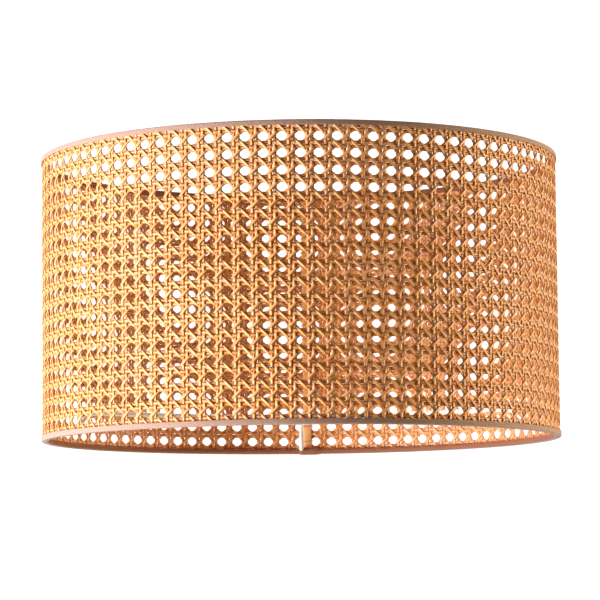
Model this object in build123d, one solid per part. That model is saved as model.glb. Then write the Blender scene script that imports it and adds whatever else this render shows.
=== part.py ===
from build123d import *
import os
from math import cos, degrees, radians, sin

# Woven cane drum shade for a floor lamp: a sheet of cane webbing rolled into a drum, sewn
# together at the back over two flat reeds, stiffened by a wire ring in each rim, and hung
# on the lampholder by a ring fitter on three wire arms.
#
# Millimetres, +Z up. The origin is the centre of the fitter's hole on the washer's
# underside, the face that sits on the lampholder's shoulder. The back of the shade, with
# the seam, is towards +Y. Azimuths are counted from the front (-Y) towards +X.

# ---- driving dimensions ----
SHADE_RADIUS = 200.0        # outside of the binding tapes
SHADE_HEIGHT = 218.0        # from rim to rim, over the tapes
HUB_RECESS = 14.0           # how far the washer sits above the lower rim

TAPE_THICKNESS = 0.6
TAPE_WIDTH = 4.0            # what shows on the outside
FOLD_GAP = 0.1              # between the tape and what it wraps
WEBBING_THICKNESS = 2.0     # cane strands over and under each other
RING_WIRE = 3.0             # wire of the two rings

COLUMNS = 94                # holes of the weave round the drum
ROWS = 17                   # holes of the weave from rim to rim
FIRST_COLUMN = 0.4          # azimuth in degrees of the hole column nearest the front
ROW_PITCH = 12.23
TOP_ROW_DEPTH = 11.8        # from the upper rim to the middle of the first row

REED_WIDTH = 7.0            # the flat reeds that cover the seam
REED_THICKNESS = 1.0
REED_GAP = 0.05             # between a reed and the webbing
REED_END_GAP = 0.4          # between a reed's end and the tape
THREAD = 0.9                # sewing thread

FITTER_HOLE = 42.0          # the usual ring for a large lampholder
HUB_DIAMETER = 60.0
HUB_THICKNESS = 2.0
HUB_FLANGE_HEIGHT = 5.2     # upstanding rim that the arms are welded to
ARM_WIRE = 3.5
ARM_COUNT = 3
ARM_BEND_RADIUS = 12.0
ARM_DROP_RUN = 15.0         # how far inside the ring the arm starts to drop
WELD_GAP = 0.05             # left at a weld, so that faces touch and don't cross
TAPE_SLIT = 0.25            # room round an arm where the tape is slit for it

# ---- worked out from them ----
RIM_LOW = -HUB_RECESS
RIM_TOP = RIM_LOW + SHADE_HEIGHT
WEBBING_OUTER = SHADE_RADIUS - TAPE_THICKNESS - FOLD_GAP
WEBBING_INNER = WEBBING_OUTER - WEBBING_THICKNESS
EDGE_INSET = TAPE_THICKNESS + FOLD_GAP          # rim to the edge of the webbing
RING_RADIUS = WEBBING_INNER - FOLD_GAP - RING_WIRE / 2
RING_INSET = EDGE_INSET + RING_WIRE / 2         # rim to the middle of the ring's wire
LOWER_RING_HEIGHT = RIM_LOW + RING_INSET
COLUMN_STEP = 360 / COLUMNS
SEAM_AZIMUTH = FIRST_COLUMN + (COLUMNS // 2 - 0.5) * COLUMN_STEP
ARM_HEIGHT = HUB_FLANGE_HEIGHT / 2


def at_azimuth(shape, azimuth):
    """Turn a shape made on the XZ plane, towards +X, to its azimuth."""
    return Rot(0, 0, azimuth - 90) * shape


def band_section(inner, outer, low, high):
    middle = ((inner + outer) / 2, (low + high) / 2)
    return Plane.XZ * Pos(*middle) * Rectangle(outer - inner, high - low)


def wall_patch(inner, outer, low, high, azimuth, width):
    """A piece of cylindrical wall, width wide, centred on an azimuth."""
    span = degrees(width / inner)
    patch = revolve(band_section(inner, outer, low, high), Axis.Z, span)
    return at_azimuth(patch, azimuth - span / 2)


def row_height(row):
    return RIM_TOP - TOP_ROW_DEPTH - row * ROW_PITCH


def stitch_outline(grow):
    """One loop of thread round both reeds, through the holes on either side of the seam."""
    thickness = THREAD + 2 * grow
    outer_face = WEBBING_OUTER + REED_GAP + REED_THICKNESS + REED_GAP
    inner_face = WEBBING_INNER - REED_GAP - REED_THICKNESS - REED_GAP
    reach = REED_WIDTH + 2 * REED_GAP
    low, high = -thickness / 2, thickness / 2
    whole = wall_patch(
        inner_face - THREAD - grow, outer_face + THREAD + grow, low, high,
        SEAM_AZIMUTH, reach + 2 * THREAD + 2 * grow)
    inside = wall_patch(
        inner_face + grow, outer_face - grow, low - 1, high + 1,
        SEAM_AZIMUTH, reach - 2 * grow)
    return whole - inside


def stitches(grow=0.0):
    loop = stitch_outline(grow)
    return [Pos(0, 0, row_height(row)) * loop for row in range(ROWS)]


def cane_webbing():
    low = RIM_LOW + EDGE_INSET
    high = RIM_TOP - EDGE_INSET
    drum = revolve(band_section(WEBBING_INNER, WEBBING_OUTER, low, high), Axis.Z)
    return drum - stitches(grow=0.1)


def seam_reed(inner):
    low = RIM_LOW + TAPE_WIDTH + REED_END_GAP
    high = RIM_TOP - TAPE_WIDTH - REED_END_GAP
    return wall_patch(inner, inner + REED_THICKNESS, low, high, SEAM_AZIMUTH, REED_WIDTH)


def wire_ring(height):
    return Pos(0, 0, height) * Torus(RING_RADIUS, RING_WIRE / 2)


def hull_section(circle_radius, side, low, high):
    """Outline round the ring's wire and the edge of the webbing, for the lower rim."""
    wire = Pos(RING_RADIUS, LOWER_RING_HEIGHT) * Circle(circle_radius)
    middle = ((WEBBING_INNER + WEBBING_OUTER) / 2, (low + high) / 2)
    edge = Pos(*middle) * Rectangle(WEBBING_THICKNESS + 2 * side, high - low)
    return make_hull((wire + edge).edges())


def lower_tape():
    wire_room = RING_WIRE / 2 + FOLD_GAP
    skin = hull_section(
        wire_room + TAPE_THICKNESS, FOLD_GAP + TAPE_THICKNESS, RIM_LOW, RIM_LOW + TAPE_WIDTH)
    room = hull_section(
        wire_room, FOLD_GAP, RIM_LOW + TAPE_THICKNESS, RIM_LOW + TAPE_WIDTH + 1)
    return revolve(Plane.XZ * (skin - room), Axis.Z)


def upper_tape():
    return mirror(lower_tape(), Plane.XY.offset((RIM_LOW + RIM_TOP) / 2))


def arm_azimuths():
    return [180 + step * 360 / ARM_COUNT for step in range(ARM_COUNT)]


def arm(azimuth, wire):
    """A wire that runs flat from the hub, then drops to the lower ring."""
    start = HUB_DIAMETER / 2 + WELD_GAP
    knee = RING_RADIUS - ARM_DROP_RUN
    route = FilletPolyline(
        (start, 0, ARM_HEIGHT), (knee, 0, ARM_HEIGHT), (RING_RADIUS, 0, LOWER_RING_HEIGHT),
        radius=ARM_BEND_RADIUS)
    section = Plane(origin=route @ 0, z_dir=route % 0) * Circle(wire / 2)
    return at_azimuth(sweep(section, path=route), azimuth)


def fitter_arm(azimuth):
    ring_with_gap = Pos(0, 0, LOWER_RING_HEIGHT) * Torus(RING_RADIUS, RING_WIRE / 2 + WELD_GAP)
    pieces = (arm(azimuth, ARM_WIRE) - ring_with_gap).solids()
    return max(pieces, key=lambda piece: piece.volume)


def fitter_hub():
    """A pressed washer whose outer edge stands up as a flange."""
    outer = HUB_DIAMETER / 2
    flange_inner = outer - HUB_THICKNESS
    washer = band_section(FITTER_HOLE / 2, outer, 0, HUB_THICKNESS)
    flange = band_section(flange_inner, outer, 0, HUB_FLANGE_HEIGHT)
    return revolve(washer + flange, Axis.Z)


def save(shape, node):
    export_step(shape, f"parts/{node}.step")


os.makedirs("parts", exist_ok=True)

save(cane_webbing(), "cane_webbing")
save(seam_reed(WEBBING_OUTER + REED_GAP), "seam_cover_reed")
save(seam_reed(WEBBING_INNER - REED_GAP - REED_THICKNESS), "seam_backing_reed")
save(Compound(children=stitches()), "seam_stitches")

save(wire_ring(LOWER_RING_HEIGHT), "lower_wire_ring")
save(wire_ring(RIM_TOP - RING_INSET), "upper_wire_ring")

slits = [arm(azimuth, ARM_WIRE + 2 * TAPE_SLIT) for azimuth in arm_azimuths()]
save(lower_tape() - slits, "lower_binding_tape")
save(upper_tape(), "upper_binding_tape")

save(fitter_hub(), "fitter_hub")
for name, azimuth in zip(("back", "left", "right"), arm_azimuths()):
    save(fitter_arm(azimuth), f"fitter_arm_{name}")
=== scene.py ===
# %% [markdown]
# # A drum lamp shade of woven cane
#
# This lesson dresses a lamp shade whose design already exists as a CAD model: a wall of cane
# webbing, two wire rings folded into cloth tape, a seam sewn over flat reeds, and a ring
# fitter on three wire arms. The CAD wall is a plain closed drum. Here it is woven for real,
# strand by strand, because the light that falls through hundreds of small holes is what makes
# this kind of shade look as it does.

# %% Load the fixed frame
from math import acos, asin, atan2, cos, hypot, pi, radians, sin, tanh

import bpy
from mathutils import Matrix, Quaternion, Vector, noise


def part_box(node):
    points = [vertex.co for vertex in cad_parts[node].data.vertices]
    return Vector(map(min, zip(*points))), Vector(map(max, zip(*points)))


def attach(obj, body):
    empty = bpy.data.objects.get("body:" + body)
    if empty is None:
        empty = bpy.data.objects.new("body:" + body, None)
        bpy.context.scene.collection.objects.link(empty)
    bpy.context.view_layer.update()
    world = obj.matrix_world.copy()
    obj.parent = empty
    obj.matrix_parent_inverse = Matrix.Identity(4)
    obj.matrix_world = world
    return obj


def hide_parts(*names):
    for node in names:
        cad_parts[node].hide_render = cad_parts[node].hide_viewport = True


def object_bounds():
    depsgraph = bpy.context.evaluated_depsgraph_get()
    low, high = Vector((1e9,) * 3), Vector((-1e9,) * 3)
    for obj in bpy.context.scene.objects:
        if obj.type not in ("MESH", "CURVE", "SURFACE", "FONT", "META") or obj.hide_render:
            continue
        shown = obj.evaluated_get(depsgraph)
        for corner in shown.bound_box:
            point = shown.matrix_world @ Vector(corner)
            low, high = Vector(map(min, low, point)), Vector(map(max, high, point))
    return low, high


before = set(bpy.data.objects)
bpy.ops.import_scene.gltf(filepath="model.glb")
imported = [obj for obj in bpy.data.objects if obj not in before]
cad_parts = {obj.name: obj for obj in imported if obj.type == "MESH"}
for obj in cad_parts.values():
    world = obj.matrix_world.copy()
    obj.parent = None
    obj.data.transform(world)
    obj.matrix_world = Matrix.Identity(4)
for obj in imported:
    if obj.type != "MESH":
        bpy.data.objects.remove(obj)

MM = 0.001
cad_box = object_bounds()
print("CAD box", [round(edge, 4) for corner in cad_box for edge in corner])

# %% [markdown]
# ## Sizes that the frame already knows
#
# Nothing is measured twice. The wall, the rims, the rows of holes and the seam are read from
# the boxes of the CAD nodes, so the woven strands fall exactly where the plain drum stands.
# Only the numbers that a weaver would choose are new: how wide a strand is, how thick, and how
# far the two strands of a pair stand apart.

# %% Read the wall, the rims and the seam
COLUMNS = 94                    # pairs of uprights round the drum
ROWS = 17                       # rows of holes between the rims
TAPE_THICKNESS = 0.6 * MM
WALL_THICKNESS = 2.0 * MM
THREAD = 0.9 * MM

wall_low, wall_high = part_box("cane_webbing")
reed_low, reed_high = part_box("seam_cover_reed")
inner_reed_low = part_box("seam_backing_reed")[0]
stitch_low, stitch_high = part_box("seam_stitches")
RIM_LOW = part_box("lower_binding_tape")[0].z
RIM_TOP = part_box("upper_binding_tape")[1].z

wall_outer = max(wall_high.x, wall_high.y)
wall_middle = wall_outer - WALL_THICKNESS / 2
top_row = stitch_high.z - THREAD / 2
row_pitch = (top_row - stitch_low.z - THREAD / 2) / (ROWS - 1)
column_turn = 2 * pi / COLUMNS
column_pitch = column_turn * wall_middle
seam_angle = pi / 2 - asin((reed_low.x + reed_high.x) / 2 / wall_outer)
print(f"wall radius {wall_middle / MM:.1f} mm, cells {column_pitch / MM:.2f} by {row_pitch / MM:.2f} mm")

# %% [markdown]
# ## A little language for node trees
#
# Both materials and geometry nodes are trees of small boxes joined by wires. Written out call by
# call they are hard to read, so two small classes help. A Term is one output, and arithmetic
# on it adds Math nodes: `1 - mask` is a real node. A Net adds any other node with one method.

# %% Terms and nets
class Term:
    """One output of a node. Sums, differences and products of Terms become Math nodes."""

    def __init__(self, net, socket):
        self.net = net
        self.socket = socket

    def __add__(self, other):
        return self.net.math("ADD", self, other)

    def __sub__(self, other):
        return self.net.math("SUBTRACT", self, other)

    def __rsub__(self, other):
        return self.net.math("SUBTRACT", other, self)

    def __mul__(self, other):
        return self.net.math("MULTIPLY", self, other)

    __radd__ = __add__
    __rmul__ = __mul__


class Net:
    """A node tree. Settings are set before the sockets, because some of them change the sockets."""

    def __init__(self, tree):
        self.tree = tree

    def node(self, kind, settings=None, inputs=None, output=0):
        made = self.tree.nodes.new(kind)
        for name, value in (settings or {}).items():
            if name == "stops":
                self.fill_ramp(made.color_ramp, value)
            else:
                setattr(made, name, value)
        for name, value in (inputs or {}).items():
            self.feed(made.inputs[name], value)
        return Term(self, made.outputs[output])

    def feed(self, socket, value):
        if isinstance(value, Term):
            self.tree.links.new(value.socket, socket)
        else:
            socket.default_value = value

    def fill_ramp(self, ramp, stops):
        while len(ramp.elements) < len(stops):
            ramp.elements.new(1.0)
        for element, (position, colour) in zip(ramp.elements, stops):
            element.position = position
            element.color = (*colour, 1.0)

    def math(self, operation, *terms):
        return self.node("ShaderNodeMath", {"operation": operation}, dict(enumerate(terms)))

    def vector_math(self, operation, *terms):
        return self.node("ShaderNodeVectorMath", {"operation": operation}, dict(enumerate(terms)))

    def vector(self, x, y, z):
        return self.node("ShaderNodeCombineXYZ", None, {0: x, 1: y, 2: z})

    def blend(self, factor, one, other, how="MIX"):
        settings = {"data_type": "RGBA", "blend_type": how}
        return self.node("ShaderNodeMix", settings, {0: factor, 6: one, 7: other}, output=2)


# %% [markdown]
# ## Finishes
#
# Each finish starts from a Principled shader whose even qualities sit on its own sockets. What
# changes over the surface, such as colour, roughness and the fine relief, is drawn by nodes.
# Colours are given as a maker would mix them, in screen values from 0 to 255, and turned into
# the linear values that the renderer works in.

# %% Start a finish
def shade(red, green, blue):
    """Screen values from 0 to 255 as a linear colour."""
    def linear(value):
        value = value / 255
        return value / 12.92 if value <= 0.04045 else ((value + 0.055) / 1.055) ** 2.4
    return (linear(red), linear(green), linear(blue))


class Finish(Net):
    """A material with one Principled shader, and the coordinates that its patterns use."""

    def __init__(self, name, even=None):
        self.material = bpy.data.materials.new(name)
        self.material.use_nodes = True
        super().__init__(self.material.node_tree)
        self.shader = self.tree.nodes["Principled BSDF"]
        for socket, value in (even or {}).items():
            self.feed(self.shader.inputs[socket], value)

    def place(self):
        return self.node("ShaderNodeTexCoord", output="Object")

    def carried(self, name):
        """A number that the mesh carries at each point."""
        return self.node("ShaderNodeAttribute", {"attribute_name": name}, output="Fac")

    def grain(self, where, scale, detail=2.0, roughness=0.5):
        inputs = {"Vector": where, "Scale": scale, "Detail": detail, "Roughness": roughness}
        return self.node("ShaderNodeTexNoise", None, inputs)

    def ramp(self, factor, *stops):
        return self.node("ShaderNodeValToRGB", {"stops": stops}, {0: factor})

    def sunk(self):
        """From 0 on a strand that lies uppermost to 1 where others pass over it."""
        flat = self.vector_math("MULTIPLY", self.place(), (1.0, 1.0, 0.0))
        radius = self.node("ShaderNodeVectorMath", {"operation": "LENGTH"}, {0: flat}, output=1)
        faces = self.node("ShaderNodeNewGeometry", output="Normal")
        outward = self.vector_math("NORMALIZE", flat)
        facing = self.node(
            "ShaderNodeVectorMath", {"operation": "DOT_PRODUCT"}, {0: faces, 1: outward}, output=1)
        height = (radius - wall_middle) * self.math("SIGN", facing)
        inputs = {"Value": height, "From Min": 0.75 * MM, "From Max": 0.05 * MM}
        return self.node("ShaderNodeMapRange", {"clamp": True}, inputs)

    def relief(self, height, depth, strength=1.0):
        inputs = {"Height": height, "Distance": depth, "Strength": strength}
        return self.node("ShaderNodeBump", None, inputs)

    def paint(self, **varying):
        for socket, value in varying.items():
            self.feed(self.shader.inputs[socket.replace("_", " ").title()], value)
        return self.material


# %% [markdown]
# ### Split cane
#
# A cane strand is a strip of vine bark: satin, straw to honey coloured, with streaks that run
# along it and now and then a darker mark where a leaf grew. Every strand was cut from another
# vine, so each has its own tone. The weave below stores three numbers at each point: the
# strand's tone, the way along it, and the way across it. The streaks are a noise that is
# stretched by those, so they follow each strand round every bend. A finer noise draws the
# fibres, which show from close by. Where other strands pass over a strand, its colour is
# darkened towards a deep brown, as painted shade.

# %% Cane and reed finishes
def cane_finish(name, pale, honey, fibre_and_shade_brown, brown, streaks_across, roughness, recess_shade):
    """The recess share is how much painted shade darkens a strand where others pass over it, from 0 to
    1.
    """
    finish = Finish(name, {"Specular IOR Level": 0.4, "Coat Weight": 0.06, "Coat Roughness": 0.3})
    tone = finish.carried("tone")
    along = finish.carried("along")
    across = finish.carried("across")
    lengthwise = finish.vector(along * 70, across * streaks_across, tone * 53)
    streaks = finish.grain(lengthwise, 1.0, detail=3.0, roughness=0.6)
    drawn_fine = finish.vector(along * 30, across * (streaks_across * 2.4), tone * 77)
    fibres = finish.grain(drawn_fine, 1.0, detail=2.0)
    marks = finish.grain(finish.vector(along * 45, across * 0.6, tone * 91), 1.0, detail=1.0)
    patches = finish.grain(finish.place(), 14.0, detail=1.0)
    own = tone * 0.55 + streaks * 0.55 + patches * 0.35 - 0.22
    colour = finish.ramp(own, (0.0, honey), (0.42, pale), (0.62, pale), (1.0, honey))
    fibre = finish.ramp(fibres, (0.46, (0, 0, 0)), (0.72, (1, 1, 1)))
    colour = finish.blend(fibre * 0.34, colour, (*fibre_and_shade_brown, 1.0))
    mark = finish.ramp(marks, (0.0, (0, 0, 0)), (0.66, (0, 0, 0)), (0.82, (1, 1, 1)))
    colour = finish.blend(mark * 0.55, colour, (*brown, 1.0))
    # Painted shade: each strand is blended towards the brown where other strands pass over it, more the
    # deeper it lies.
    colour = finish.blend(finish.sunk() * recess_shade, colour, (*fibre_and_shade_brown, 1.0))
    return finish.paint(
        base_color=colour,
        roughness=roughness + streaks * 0.18,
        normal=finish.relief(streaks + fibres * 0.5, 0.08 * MM),
    )


cane = cane_finish(
    "split_cane", shade(240, 180, 113), shade(218, 141, 74), shade(166, 82, 24),
    shade(136, 74, 34),
    streaks_across=7.0, roughness=0.34, recess_shade=0.6)
reed = cane_finish(
    "flat_reed", shade(240, 188, 124), shade(220, 154, 88), shade(190, 120, 60),
    shade(150, 90, 46),
    streaks_across=18.0, roughness=0.42, recess_shade=0.0)
print("finishes so far:", cane.name, reed.name)

# %% [markdown]
# ### Tape, thread and powder coat
#
# The tape is a fine plain-woven cotton in a pinkish beige. Its threads are two waves at right
# angles on the tape's own UV map, which is laid out in metres, so the threads keep their size
# round every fold. The hollows between the threads are painted a little darker, as shade. The leg
# that is turned inside is browner than the rest. The sewing thread is a two-ply twist whose
# grooves are painted darker and crests lighter, as shade and highlight, and the steel carries a
# powder coat with a slight orange-peel surface.

# %% Cloth, thread and powder coat finishes
def wave(net, place, spacing):
    """Runs from 0 to 1 and back once in each spacing."""
    return net.math("SINE", place * (2 * pi / spacing)) * 0.5 + 0.5


TAPE_CUT = 14.5 * MM            # the strip's width, laid flat
CLOTH_THREADS = 0.55 * MM       # from one thread of the cloth to the next


def binding_cloth():
    finish = Finish("binding_cloth", {"Specular IOR Level": 0.2, "Sheen Weight": 0.25})
    laid_out = finish.node("ShaderNodeUVMap", {"uv_map": "tape"})
    round_it = finish.node("ShaderNodeSeparateXYZ", None, {0: laid_out})
    across_it = Term(finish, round_it.socket.node.outputs[1])
    warp = wave(finish, round_it, CLOTH_THREADS)
    weft = wave(finish, across_it, CLOTH_THREADS)
    threads = warp * weft + (1 - warp) * (1 - weft)
    slubs = finish.grain(finish.vector(round_it * 260, across_it * 1500, 0.0), 1.0, detail=2.0)
    # The tint follows the slubs, the yarn's own unevenness. It also partly follows the weave, so the
    # hollows between threads are painted darker as shade.
    tint = finish.ramp(
        slubs * 0.7 + threads * 0.3,
        (0.15, shade(156, 118, 96)), (0.55, shade(183, 147, 124)), (0.9, shade(204, 170, 150)))
    # The leg that is turned inside is blended towards a browner colour.
    turned_inside = finish.ramp(across_it * (1 / TAPE_CUT), (0.5, (0, 0, 0)), (0.62, (1, 1, 1)))
    tint = finish.blend(turned_inside * 0.8, tint, (*shade(138, 82, 44), 1.0))
    return finish.paint(
        base_color=tint,
        roughness=0.82 + slubs * 0.12,
        normal=finish.relief(threads + slubs * 0.6, 0.09 * MM),
    )


def sewing_thread():
    finish = Finish("waxed_thread", {"Specular IOR Level": 0.35})
    twist = finish.carried("along") * 2600 + finish.carried("across") * (2 * pi)
    plies = finish.math("SINE", twist) * 0.5 + 0.5
    # The colour follows the twist's relief: its grooves are painted darker and its crests lighter, as
    # shade and highlight.
    colour = finish.ramp(plies, (0.0, shade(196, 158, 108)), (1.0, shade(236, 208, 164)))
    return finish.paint(
        base_color=colour,
        roughness=0.5 + plies * 0.15,
        normal=finish.relief(plies, 0.12 * MM),
    )


def powder_coat():
    finish = Finish("white_powder_coat", {"Specular IOR Level": 0.5})
    peel = finish.grain(finish.place(), 900.0, detail=2.0)
    scuffs = finish.grain(finish.place(), 60.0, detail=4.0, roughness=0.7)
    colour = finish.ramp(scuffs, (0.3, shade(226, 222, 212)), (0.7, shade(240, 238, 232)))
    return finish.paint(
        base_color=colour,
        roughness=0.3 + scuffs * 0.2,
        normal=finish.relief(peel, 0.05 * MM),
    )


cloth = binding_cloth()
thread = sewing_thread()
white_coat = powder_coat()
print("finishes", [material.name for material in bpy.data.materials])

# %% [markdown]
# ## One strand, many times
#
# Cane webbing is only six different strands, each repeated round the drum or up it. So one
# Geometry Nodes tree takes the line of one strand, gives it a flat crowned section, and copies
# it with a turn and a rise from each copy to the next. The alternative, an Array modifier, can't
# give each copy its own small sway and its own tone, and those are what keep a woven sheet from
# looking printed.
#
# The section's own x axis is laid along the curve's normal. For strands that lie on the wall
# the normal is set to point straight out of the drum, so every strand lies flat on it.

# %% Inputs of the tree
STRAND_INPUTS = [
    ("Line", "Geometry"), ("Copies", "Int"), ("First turn", "Float"), ("Turn", "Float"),
    ("Rise", "Float"), ("Width", "Float"), ("Thickness", "Float"), ("Section points", "Int"),
    ("Lies flat", "Bool"), ("Sway", "Float"), ("Unevenness", "Float"), ("Seed", "Int"),
    ("Finish", "Material"),
]


def start_tree(name):
    """An empty tree with its named inputs, and a Term for each of them."""
    tree = bpy.data.node_groups.new(name, "GeometryNodeTree")
    for label, kind in STRAND_INPUTS:
        tree.interface.new_socket(label, in_out="INPUT", socket_type=f"NodeSocket{kind}")
    tree.interface.new_socket("Strands", in_out="OUTPUT", socket_type="NodeSocketGeometry")
    net = Net(tree)
    group = tree.nodes.new("NodeGroupInput")
    return net, {label: Term(net, group.outputs[label]) for label, _ in STRAND_INPUTS}


def store(net, geometry, name, value, domain):
    settings = {"data_type": "FLOAT", "domain": domain}
    return net.node(
        "GeometryNodeStoreNamedAttribute", settings,
        {"Geometry": geometry, "Name": name, "Value": value})


print("the tree will have", len(STRAND_INPUTS), "inputs")


# %% One strand from its line
def one_strand(net, given, here):
    line = net.node("GeometryNodeMeshToCurve", None, {"Mesh": given["Line"]})
    way = net.node("GeometryNodeSplineParameter", output="Length")
    line = store(net, line, "along", way, "POINT")
    outward = net.vector_math("MULTIPLY", here, (1.0, 1.0, 0.0))
    outward = net.vector_math("NORMALIZE", outward)
    laid = net.node(
        "GeometryNodeSetCurveNormal", {"mode": "FREE"}, {"Curve": line, "Normal": outward})
    line = net.node(
        "GeometryNodeSwitch", {"input_type": "GEOMETRY"}, {0: given["Lies flat"], 1: line, 2: laid})

    section = net.node(
        "GeometryNodeCurvePrimitiveCircle", None, {"Resolution": given["Section points"], "Radius": 0.5})
    spot = net.node("ShaderNodeSeparateXYZ", None, {0: here})
    side = Term(net, spot.socket.node.outputs[1])
    section = store(net, section, "across", side, "POINT")
    size = net.vector(given["Thickness"], given["Width"], 1.0)
    section = net.node(
        "GeometryNodeSetPosition", None,
        {"Geometry": section, "Position": net.vector_math("MULTIPLY", here, size)})
    return net.node(
        "GeometryNodeCurveToMesh", None, {"Curve": line, "Profile Curve": section, "Fill Caps": True})


# %% Its copies, each with its own turn and tone
def chance(net, seed, index):
    """A number from -1 to 1, different for each copy and the same in each run."""
    return net.node(
        "FunctionNodeRandomValue", {"data_type": "FLOAT"},
        {2: -1.0, 3: 1.0, "ID": index, "Seed": seed}, output=1)


def turned_copies(net, given, strand):
    index = net.node("GeometryNodeInputIndex")
    feet = net.node(
        "GeometryNodePoints", None,
        {"Count": given["Copies"], "Position": net.vector(0.0, 0.0, index * given["Rise"])})
    sway = chance(net, given["Seed"], index) * given["Sway"]
    turn = net.vector(0.0, 0.0, given["First turn"] + index * given["Turn"] + sway)
    copies = net.node(
        "GeometryNodeInstanceOnPoints", None,
        {"Points": feet, "Instance": strand, "Rotation": turn})
    tone = chance(net, given["Seed"] + 1, index) * 0.5 + 0.5
    copies = store(net, copies, "tone", tone, "INSTANCE")
    return net.node("GeometryNodeRealizeInstances", None, {"Geometry": copies})


# %% The whole tree
DRIFT_SCALE = 28.0              # how quickly the unevenness changes, per metre


def strand_tree():
    net, given = start_tree("copies_of_a_strand")
    here = net.node("GeometryNodeInputPosition")
    whole = turned_copies(net, given, one_strand(net, given, here))
    drift = net.node(
        "ShaderNodeTexNoise", None, {"Vector": here, "Scale": DRIFT_SCALE, "Detail": 2.0}, output=1)
    drift = net.vector_math("SUBTRACT", drift, (0.5, 0.5, 0.5))
    drift = net.node(
        "ShaderNodeVectorMath", {"operation": "SCALE"}, {0: drift, "Scale": given["Unevenness"]})
    whole = net.node("GeometryNodeSetPosition", None, {"Geometry": whole, "Offset": drift})
    whole = net.node("GeometryNodeSetShadeSmooth", None, {"Geometry": whole})
    whole = net.node(
        "GeometryNodeSetMaterial", None, {"Geometry": whole, "Material": given["Finish"]})
    net.feed(net.tree.nodes.new("NodeGroupOutput").inputs["Strands"], whole)
    return net.tree


copies_of_a_strand = strand_tree()
print("tree with", len(copies_of_a_strand.nodes), "nodes")

# %% [markdown]
# A line is handed to the tree as a mesh of points joined in a row. The modifier's inputs are set
# before the object is first evaluated, and the result is taken out as a plain mesh, so that no
# modifier is left on the finished piece.

# %% Run the tree on a line
def line_mesh(points, closed=False):
    joins = [(start, start + 1) for start in range(len(points) - 1)]
    if closed:
        joins.append((len(points) - 1, 0))
    mesh = bpy.data.meshes.new("line")
    mesh.from_pydata(points, joins, [])
    return mesh


def link(name, mesh):
    made = bpy.data.objects.new(name, mesh)
    bpy.context.scene.collection.objects.link(made)
    return made


def strands(name, points, closed=False, **inputs):
    guide = link(name + "_line", line_mesh(points, closed))
    modifier = guide.modifiers.new("strands", "NODES")
    modifier.node_group = copies_of_a_strand
    for item in copies_of_a_strand.interface.items_tree:
        key = item.name.lower().replace(" ", "_")
        if item.in_out == "INPUT" and key in inputs:
            modifier[item.identifier] = inputs[key]
    graph = bpy.context.evaluated_depsgraph_get()
    mesh = bpy.data.meshes.new_from_object(
        guide.evaluated_get(graph), preserve_all_data_layers=True, depsgraph=graph)
    bpy.data.objects.remove(guide)
    piece = link(name, mesh)
    mesh.calc_loop_triangles()
    print(name, len(mesh.loop_triangles), "triangles")
    return piece


# %% [markdown]
# ## The weave
#
# The old seven-step cane pattern has pairs of uprights, pairs of hoops, and two sets of
# diagonals. Within each pair the two strands are opposite: where one goes over, the other goes
# under. One set of diagonals passes over the uprights and under the hoops, and the other set does
# the opposite, so everything locks and the holes come out eight-sided.
#
# Over and under are a small wave in the distance from the drum's axis. For uprights and hoops
# it is a sine with a second one of double pitch, which gives flat tops and quick changes right
# at the crossing. Diagonals stay high or low for longer, so they use a squared-off cosine.

# %% Over and under
STRAND_WIDTH = 2.8 * MM
DIAGONAL_WIDTH = 2.45 * MM
STRAND_THICKNESS = 0.62 * MM
UPRIGHT_SPREAD = 1.52 * MM      # from the middle of a pair to the middle of a strand
HOOP_SPREAD = 1.45 * MM
LIFT = 0.31 * MM                # how far a strand rises over the one that it crosses
DIAGONAL_LIFT = 0.58 * MM
UPRIGHT_INSET = 0.3 * MM        # how far each kind stops short of the webbing's edge
DIAGONAL_INSET = 1.2 * MM
CELL_STEPS = 8                  # points of a strand's line in each cell
STRAND_SECTION = 5              # points round a strand, as there are so many of them
SECTION_DEPTH = 0.9             # a five-sided section measures this much of its full thickness
COLOUR_SEED = 41


def over_and_under(cells):
    return (sin(2 * pi * cells) + 0.5 * sin(4 * pi * cells)) / 1.2


def squared_cosine(cells):
    return tanh(2.2 * cos(2 * pi * cells)) / tanh(2.2)


def on_wall(angle, height, lift):
    radius = wall_middle + lift
    return (radius * cos(angle), radius * sin(angle), height)


edge_low = wall_low.z
edge_high = wall_high.z
first_hoop = top_row - (ROWS - 0.5) * row_pitch
wall_steps = round((edge_high - edge_low) / row_pitch * CELL_STEPS)


def heights(cut_short):
    low = edge_low + cut_short
    reach = edge_high - edge_low - 2 * cut_short
    return [low + reach * step / wall_steps for step in range(wall_steps + 1)]


def upright_line(side):
    return [
        on_wall(
            side * UPRIGHT_SPREAD / wall_middle, height,
            -side * LIFT * over_and_under((height - first_hoop) / row_pitch))
        for height in heights(UPRIGHT_INSET)]


def hoop_line(side):
    turns = [step * column_turn / CELL_STEPS for step in range(COLUMNS * CELL_STEPS)]
    return [
        on_wall(
            angle, first_hoop + side * HOOP_SPREAD,
            side * LIFT * over_and_under(angle / column_turn))
        for angle in turns]


def diagonal_line(slope):
    points = []
    for height in heights(DIAGONAL_INSET):
        cells = 0.5 + (height - first_hoop) / row_pitch
        lift = slope * DIAGONAL_LIFT * squared_cosine(cells)
        points.append(on_wall(slope * cells * column_turn, height, lift))
    return points


print(f"{wall_steps} steps up the wall, {COLUMNS * CELL_STEPS} round it")

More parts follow.
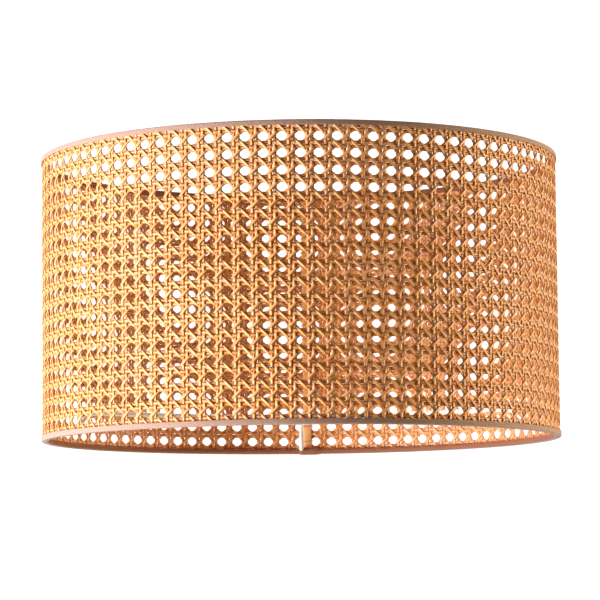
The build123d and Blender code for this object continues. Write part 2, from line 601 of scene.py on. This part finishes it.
# %% Weave the wall
woven = {
    "section_points": STRAND_SECTION, "lies_flat": True, "finish": cane,
    "thickness": STRAND_THICKNESS / SECTION_DEPTH,
    "first_turn": seam_angle, "unevenness": 0.5 * MM, "sway": 0.1 * MM / wall_middle,
}
webbing = []
for seed, (label, side) in enumerate((("left", -1), ("right", 1))):
    webbing.append(strands(
        f"cane_uprights_{label}", upright_line(side), copies=COLUMNS, turn=column_turn,
        width=STRAND_WIDTH, seed=COLOUR_SEED + seed, **woven))
for seed, (label, side) in enumerate((("lower", -1), ("upper", 1))):
    webbing.append(strands(
        f"cane_hoops_{label}", hoop_line(side), closed=True, copies=ROWS + 1, rise=row_pitch,
        width=STRAND_WIDTH, seed=COLOUR_SEED + 10 + seed, **woven))
for seed, (label, slope) in enumerate((("rising", 1), ("falling", -1))):
    webbing.append(strands(
        f"cane_diagonals_{label}", diagonal_line(slope), copies=COLUMNS, turn=column_turn,
        width=DIAGONAL_WIDTH, seed=COLOUR_SEED + 20 + seed, **woven))

for piece in webbing:
    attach(piece, "root")
    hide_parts("cane_webbing")

# %% [markdown]
# ## The seam
#
# The sheet's two ends meet at the back, down the middle of a pair of uprights. A flat reed
# covers the join on each side, and a loop of thread in every row of holes binds both reeds
# through the weave. The reeds and the stitches go through the same tree as the strands: a
# reed is a wide strand with a rounder section, and a stitch is a small closed line.

# %% Reeds and stitches
REED_SECTION = 16
REED_STEPS = 60
REED_THICKNESS = 1.0 * MM
THREAD_SECTION = 8
STITCH_CORNER = 0.8 * MM
STITCH_SLANT = 0.5 * MM
STITCH_CORNER_STEPS = 4


def reed_line(low, high):
    radius = hypot((low.x + high.x) / 2, (low.y + high.y) / 2)
    length = high.z - low.z
    return [(radius, 0.0, low.z + length * step / REED_STEPS) for step in range(REED_STEPS + 1)]


def stitch_line():
    """A loop with round corners, in the plane across the seam."""
    half_width = (stitch_high.x - stitch_low.x) / 2 - THREAD / 2 - 0.1 * MM
    inner = min(stitch_low.y, inner_reed_low.y) + THREAD / 2
    outer = stitch_high.y - THREAD / 2
    middle = (inner + outer) / 2
    half_depth = (outer - inner) / 2
    points = []
    for corner in range(4):
        start = corner * pi / 2
        across = 1 if corner in (0, 3) else -1
        out = 1 if corner in (0, 1) else -1
        for step in range(STITCH_CORNER_STEPS + 1):
            angle = start + step / STITCH_CORNER_STEPS * pi / 2
            side = across * (half_width - STITCH_CORNER) + STITCH_CORNER * cos(angle)
            depth = out * (half_depth - STITCH_CORNER) + STITCH_CORNER * sin(angle)
            slant = STITCH_SLANT * side / half_width
            points.append((middle + depth, -side, top_row + slant))
    return points


sewn = {"copies": 1, "first_turn": seam_angle, "unevenness": 0.15 * MM}
seam_reeds = {}
for label, node in (("cover", "seam_cover_reed"), ("backing", "seam_backing_reed")):
    low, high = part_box(node)
    seam_reeds[node] = strands(
        f"reed_{label}", reed_line(low, high), width=high.x - low.x, thickness=REED_THICKNESS,
        section_points=REED_SECTION, lies_flat=True, finish=reed, seed=COLOUR_SEED + 30, **sewn)
for node, piece in seam_reeds.items():
    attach(piece, "root")
    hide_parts(node)

sewn["copies"] = ROWS
stitching = strands(
    "seam_thread", stitch_line(), closed=True, rise=-row_pitch, width=THREAD, thickness=THREAD,
    section_points=THREAD_SECTION, finish=thread, sway=0.15 * MM / wall_middle,
    seed=COLOUR_SEED + 40, **sewn)
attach(stitching, "root")
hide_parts("seam_stitches")

# %% [markdown]
# ## The bound rims
#
# Each rim is a strip of tape, folded over the edge of the webbing and round the wire ring, and
# glued inside. It is one sheet of cloth, so it is built as one: a line of points across the strip,
# carried round the rim, with the last stretch lying on top of the first where the ends lap at
# the back. Solidify then gives the sheet its thickness. A solid ring of the same outline
# would be quicker, but would have no lap, no raw edge and no puckers where the cloth is
# gathered round the wire.

# %% The line across a tape
FOLD_GAP = 0.1 * MM
RING_WIRE = 3.0 * MM
TAPE_SHOWS = 4.0 * MM           # height of the band seen from outside
HEM_CORNER = 0.8 * MM

half_cloth = TAPE_THICKNESS / 2
ring_low, ring_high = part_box("lower_wire_ring")
wire_radius = max(ring_high.x, ring_high.y) - RING_WIRE / 2
wire_height = (ring_low.z + ring_high.z) / 2 - RIM_LOW
outer_leg = wall_outer + FOLD_GAP + half_cloth
inner_leg = wall_outer - WALL_THICKNESS - FOLD_GAP - half_cloth
wrap = RING_WIRE / 2 + FOLD_GAP + half_cloth


def between(start, end, steps):
    """Points from start up to, but not at, end."""
    return [
        (start[0] + (end[0] - start[0]) * step / steps, start[1] + (end[1] - start[1]) * step / steps)
        for step in range(steps)]


def arc(centre, radius, start, end, steps):
    return [
        (centre[0] + radius * cos(start + (end - start) * step / steps),
         centre[1] + radius * sin(start + (end - start) * step / steps))
        for step in range(steps + 1)]


def across_the_tape():
    """(distance from the drum's axis, height above the rim) of the cloth's middle."""
    inner_edge = (inner_leg, TAPE_SHOWS)
    reach = hypot(inner_edge[0] - wire_radius, inner_edge[1] - wire_height)
    lean = atan2(inner_edge[1] - wire_height, inner_edge[0] - wire_radius)
    leaves_wire = lean + acos(wrap / reach)
    corner = (outer_leg - HEM_CORNER, half_cloth + HEM_CORNER)
    points = between((outer_leg, TAPE_SHOWS), (outer_leg, corner[1]), 5)
    points += arc(corner, HEM_CORNER, 0.0, -pi / 2, 4)
    round_wire = arc((wire_radius, wire_height), wrap, 1.5 * pi, leaves_wire, 12)
    points += between(points[-1], round_wire[0], 2)[1:]
    points += round_wire
    points += between(round_wire[-1], inner_edge, 4)[1:]
    points.append(inner_edge)
    return points


print("the line across a tape has", len(across_the_tape()), "points")

# %% Carry it round the rim
ROUND_STEPS = 540
LAP = 14 * MM
LAP_RISE = 5 * MM
LAP_GAP = 0.05 * MM             # between the two layers of the lap
PUCKER = 0.16 * MM
PUCKERS_ROUND = 31              # the higher, the closer the puckers stand
PUCKERS_ACROSS = 90
EDGE_WANDER = 0.25 * MM


def eased(value):
    value = min(1.0, max(0.0, value))
    return value * value * (3 - 2 * value)


def tape_mesh(name, upside_down):
    profile = across_the_tape()
    widths = [0.0]
    for (one, other) in zip(profile, profile[1:]):
        widths.append(widths[-1] + hypot(other[0] - one[0], other[1] - one[1]))
    around = 2 * pi * outer_leg
    length = around + LAP
    columns = round(ROUND_STEPS * length / around)
    points = []
    for column in range(columns + 1):
        way = length * column / columns
        angle = seam_angle + (way - LAP / 2) / outer_leg
        raised = (TAPE_THICKNESS + LAP_GAP) * eased((way - around + LAP_RISE) / LAP_RISE)
        for row, (radius, height) in enumerate(profile):
            before = profile[max(row - 1, 0)]
            after = profile[min(row + 1, len(profile) - 1)]
            out = Vector((after[1] - before[1], before[0] - after[0])).normalized() * -1
            inside = eased((widths[row] - TAPE_SHOWS) / (widths[-1] - TAPE_SHOWS))
            spot = Vector((
                cos(angle) * PUCKERS_ROUND, sin(angle) * PUCKERS_ROUND,
                widths[row] * PUCKERS_ACROSS + 7 * upside_down))
            ruffle = noise.noise(spot * 3.0) * PUCKER * (0.25 + inside)
            shift = raised + ruffle
            wander = EDGE_WANDER * noise.noise(spot) if row in (0, len(profile) - 1) else 0.0
            distance = radius + out.x * shift
            level = height + out.y * shift + wander
            level = RIM_TOP - level if upside_down else RIM_LOW + level
            points.append((distance * cos(angle), distance * sin(angle), level))
    rows = len(profile)
    faces = []
    for column in range(columns):
        for row in range(rows - 1):
            start = column * rows + row
            face = (start, start + rows, start + rows + 1, start + 1)
            faces.append(face[::-1] if upside_down else face)
    mesh = bpy.data.meshes.new(name)
    mesh.from_pydata(points, [], faces)
    laid_out = mesh.uv_layers.new(name="tape")
    for loop in mesh.loops:
        column, row = divmod(loop.vertex_index, rows)
        laid_out.data[loop.index].uv = (length * column / columns, widths[row])
    mesh.shade_smooth()
    mesh.materials.append(cloth)
    print(name, f"cut {length:.3f} by {widths[-1]:.4f} m")
    return mesh, (widths[-1], length)


def bound_rim(name, node, upside_down):
    mesh, cut = tape_mesh(name, upside_down)
    tape = link(name, mesh)
    thickness = tape.modifiers.new("cloth", "SOLIDIFY")
    thickness.thickness = TAPE_THICKNESS
    thickness.offset = 0.0
    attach(tape, "root")
    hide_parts(node)


bound_rim("lower_rim_tape", "lower_binding_tape", upside_down=False)
bound_rim("upper_rim_tape", "upper_binding_tape", upside_down=True)

# %% [markdown]
# ## The fitter
#
# The washer, the arms and the rings are hard steel parts, and CAD has their shape right, so they
# only get their finish. What CAD leaves out is the weld that holds each arm to the hub: a
# small bead round the wire's end. Three beads are one small closed line, turned by a third.

# %% Powder coat and weld beads
for node in (
        "fitter_hub", "fitter_arm_back", "fitter_arm_left", "fitter_arm_right",
        "upper_wire_ring", "lower_wire_ring"):
    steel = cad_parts[node]
    steel.data.materials.clear()
    steel.data.materials.append(white_coat)

hub_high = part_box("fitter_hub")[1]
arm_low, arm_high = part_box("fitter_arm_back")
ARMS = 3
BEAD = 1.7 * MM
BEAD_STEPS = 14
arm_wire = arm_high.x - arm_low.x
arm_height = arm_high.z - arm_wire / 2
bead_ring = arm_wire / 2 + 0.15 * MM
bead_line = [
    (hub_high.x + 0.35 * MM, bead_ring * cos(step * 2 * pi / BEAD_STEPS),
     arm_height + bead_ring * sin(step * 2 * pi / BEAD_STEPS))
    for step in range(BEAD_STEPS)]
beads = strands(
    "hub_weld_beads", bead_line, closed=True, copies=ARMS, first_turn=pi / 2, turn=2 * pi / ARMS,
    width=BEAD, thickness=BEAD, section_points=8, unevenness=1.2 * MM, finish=white_coat,
    seed=COLOUR_SEED + 50)
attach(beads, "root")

# %% [markdown]
# ## The studio
#
# The shade hangs at the height that its lamp holds it, with the floor well below, in a bright
# white studio. The key light is large and comes from the left, so that the left side turns
# straw pale and the middle keeps its honey colour. A weaker light comes from the right, a small
# one throws light up through the open bottom onto the far wall, and one behind keeps the back
# from going dark.
#
# The world is white to the camera, but gives the shade only a little warm light. Its gloss sees
# more of it, which pales the wall towards both sides, where it is seen at a slant. The floor
# glows so that it stays pale all the way out, and is hidden from the rays that would
# carry its glow to the shade.

# %% The floor
LAMP_POST_HEIGHT = 1.304
floor_level = RIM_LOW - LAMP_POST_HEIGHT


def pale_floor():
    finish = Finish("pale_floor", {"Specular IOR Level": 0.1, "Emission Strength": 0.78})
    mottle = finish.grain(finish.place(), 1.5, detail=3.0)
    colour = finish.ramp(mottle, (0.3, shade(244, 243, 241)), (0.7, shade(248, 247, 246)))
    return finish.paint(
        base_color=colour, emission_color=colour, roughness=0.9 + mottle * 0.05)


reach = 30.0
floor_mesh = bpy.data.meshes.new("studio_floor")
corners = [(-reach, -reach), (reach, -reach), (reach, reach), (-reach, reach)]
floor_mesh.from_pydata([(x, y, floor_level) for x, y in corners], [], [(0, 1, 2, 3)])
floor_mesh.materials.append(pale_floor())
floor = link("studio_floor", floor_mesh)
floor.visible_diffuse = False
floor.visible_glossy = False
print(f"floor at {floor_level:.3f} m")

# %% The world
AMBIENT = 0.12                  # strength of the world's light on the shade
REFLECTED = 0.9                 # how much more of it the gloss shows
world = bpy.data.worlds.new("white_studio")
bpy.context.scene.world = world
world.use_nodes = True
sky = Net(world.node_tree)
seen = sky.node("ShaderNodeLightPath", output="Is Camera Ray")
background = world.node_tree.nodes["Background"]
WHITE = (1.0, 1.0, 1.0, 1.0)
WARM = (1.0, 0.9, 0.72, 1.0)
sky.feed(background.inputs["Color"], sky.blend(seen, WARM, WHITE))
glints = sky.node("ShaderNodeLightPath", output="Is Glossy Ray")
sky.feed(background.inputs["Strength"], seen * (1 - AMBIENT) + glints * REFLECTED + AMBIENT)
print("world gives the shade", AMBIENT, "and its gloss", AMBIENT + REFLECTED)

# %% The lights
middle = Vector((0.0, 0.0, (RIM_LOW + RIM_TOP) / 2))


def soft_light(name, azimuth, elevation, distance, size, power, colour):
    """A square light that faces the shade. Azimuth counts from the front towards the right."""
    lamp = bpy.data.lights.new(name, "AREA")
    lamp.size = size
    lamp.energy = power
    lamp.color = colour
    holder = link(name, lamp)
    holder.visible_camera = False
    turn = radians(azimuth)
    rise = radians(elevation)
    towards = Vector((sin(turn) * cos(rise), -cos(turn) * cos(rise), sin(rise)))
    holder.location = middle + towards * distance
    holder.rotation_euler = (-towards).to_track_quat("-Z", "Y").to_euler()
    print(name, power, "W")


soft_light("key_from_left", -71, -7, 2.6, 1.2, 136, (0.88, 0.92, 1.12))
soft_light("fill_from_right", 97, -3, 2.8, 1.2, 90, (1.0, 0.94, 0.82))
soft_light("glow_from_below", -60, -42, 1.3, 0.7, 8, (1.0, 0.92, 0.8))
soft_light("sky_from_behind", 180, 40, 2.8, 1.6, 85, (1.0, 0.97, 0.93))

# %% [markdown]
# ## The camera
#
# The view is that of someone standing in front of the whole lamp: the eye is lower than the
# shade, so the near rim hides the fitter and the far wall shows under it. The camera keeps that
# place, and a long lens brings the shade close.

# %% Place the camera
EYE_DISTANCE = 2.331
EYE_BELOW_RIM = 0.135
FILL = 0.86                     # share of the picture's width that the shade takes
HELD_ASKEW = -0.6               # degrees

lens = bpy.data.cameras.new("eye")
eye = link("eye", lens)
eye.location = (0.0, -EYE_DISTANCE, RIM_LOW - EYE_BELOW_RIM)
towards_shade = middle - eye.location
level = towards_shade.to_track_quat("-Z", "Y")
eye.rotation_euler = (level @ Quaternion((0.0, 0.0, 1.0), radians(HELD_ASKEW))).to_euler()
shade_width = cad_box[1].x - cad_box[0].x
lens.lens = lens.sensor_width * towards_shade.length * FILL / shade_width
lens.clip_end = 100.0
bpy.context.scene.camera = eye
bpy.context.scene.view_settings.view_transform = "Standard"
bpy.context.scene.view_settings.look = "Medium High Contrast"
print(f"lens {lens.lens:.0f} mm")
